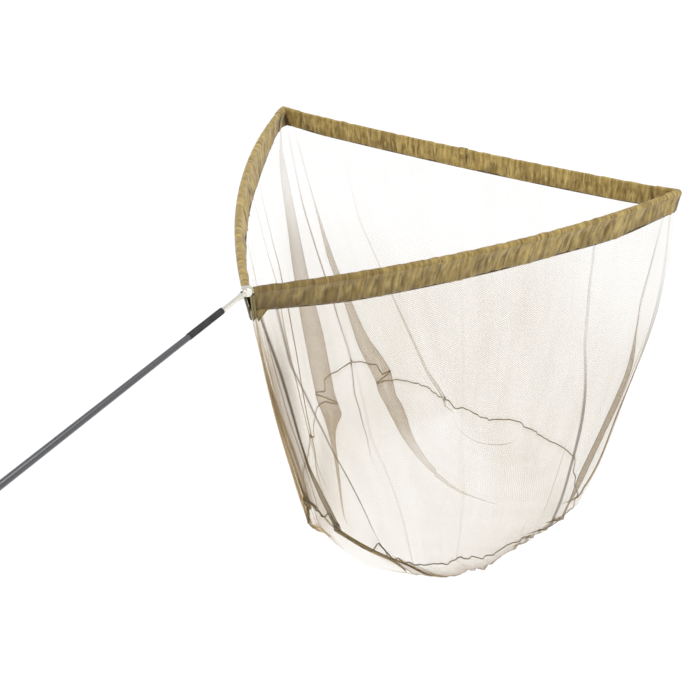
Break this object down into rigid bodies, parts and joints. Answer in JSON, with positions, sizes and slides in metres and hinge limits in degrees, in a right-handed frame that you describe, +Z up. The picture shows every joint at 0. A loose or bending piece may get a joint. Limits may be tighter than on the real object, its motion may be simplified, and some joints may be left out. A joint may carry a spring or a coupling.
{
  "type": "landing net",
  "caption": "Landing net: tapered handle, screw-in spreader block, bowed pull-out arms and a deep mesh bag hung from a triangular mouth.",
  "frame": {"origin": "middle of the butt grip, on the handle's axis", "axes": "+X along the handle from the butt to the net, +Z up with the bag hanging down, +Y to the left arm"},
  "size_m": [3.0345, 1.3062, 1.375],
  "materials": {
    "carbon": "satin",
    "grip_black": "matte",
    "polished_metal": "polished",
    "rubber_black": "matte",
    "brass": "satin",
    "washer_nylon": "matte",
    "steel": "satin",
    "black_steel": "satin",
    "arm_composite": "satin",
    "black_plastic": "matte",
    "cord": "matte",
    "sleeve_fabric": "matte",
    "webbing": "matte",
    "mesh": "matte",
    "binding": "matte"
  },
  "bodies": {
    "handle": {"handle_tube": "carbon", "butt_grip": "grip_black", "butt_cap": "polished_metal", "butt_button": "rubber_black", "top_grip_sleeve": "grip_black", "threaded_insert": "brass"},
    "thread_washer": {"stem_washer": "washer_nylon"},
    "net_head": {"threaded_stud": "steel", "spreader_stem": "polished_metal", "spreader_block": "polished_metal", "block_cap": "polished_metal", "stem_lock_screw": "black_steel", "socket_grub_screws": "black_steel", "left_socket": "steel", "right_socket": "steel", "left_arm_sleeve": "sleeve_fabric", "right_arm_sleeve": "sleeve_fabric", "left_hem_tab": "webbing", "right_hem_tab": "webbing", "left_front_sleeve": "sleeve_fabric", "right_front_sleeve": "sleeve_fabric", "front_joint_binding": "webbing", "front_cord": "cord", "left_mesh_wall": "mesh", "right_mesh_wall": "mesh", "front_mesh_wall": "mesh", "mesh_base": "mesh", "left_base_binding": "binding", "right_base_binding": "binding", "front_base_binding": "binding"},
    "left_arm": {"left_arm_rod": "arm_composite", "left_arm_ferrule": "steel", "left_arm_o_ring": "rubber_black", "left_tip_cap": "black_plastic", "left_cord_loop": "cord", "left_corner_pocket": "webbing"},
    "right_arm": {"right_arm_rod": "arm_composite", "right_arm_ferrule": "steel", "right_arm_o_ring": "rubber_black", "right_tip_cap": "black_plastic", "right_cord_loop": "cord", "right_corner_pocket": "webbing"}
  },
  "joints": [
    {"name": "thread_advance", "type": "slide", "parent": "handle", "child": "thread_washer", "axis": [1, 0, 0], "range_m": [0, 0.0127]},
    {"name": "head_turn", "type": "hinge", "parent": "thread_washer", "child": "net_head", "pos_m": [1.668, 0, 0], "axis": [1, 0, 0], "range_deg": [0, 3600]},
    {"name": "left_arm_pull", "type": "hinge", "parent": "net_head", "child": "left_arm", "pos_m": [3.82342, -2.28858, -0.16263], "axis": [-0.0785, 0, -0.9969], "range_deg": [0, 0.92]},
    {"name": "right_arm_pull", "type": "hinge", "parent": "net_head", "child": "right_arm", "pos_m": [3.82342, 2.28858, -0.16263], "axis": [0.0785, 0, 0.9969], "range_deg": [0, 0.92]}
  ],
  "couplings": [
    {"joint": "thread_advance", "follows": "head_turn", "m_per_rad": 0.00020213}
  ]
}
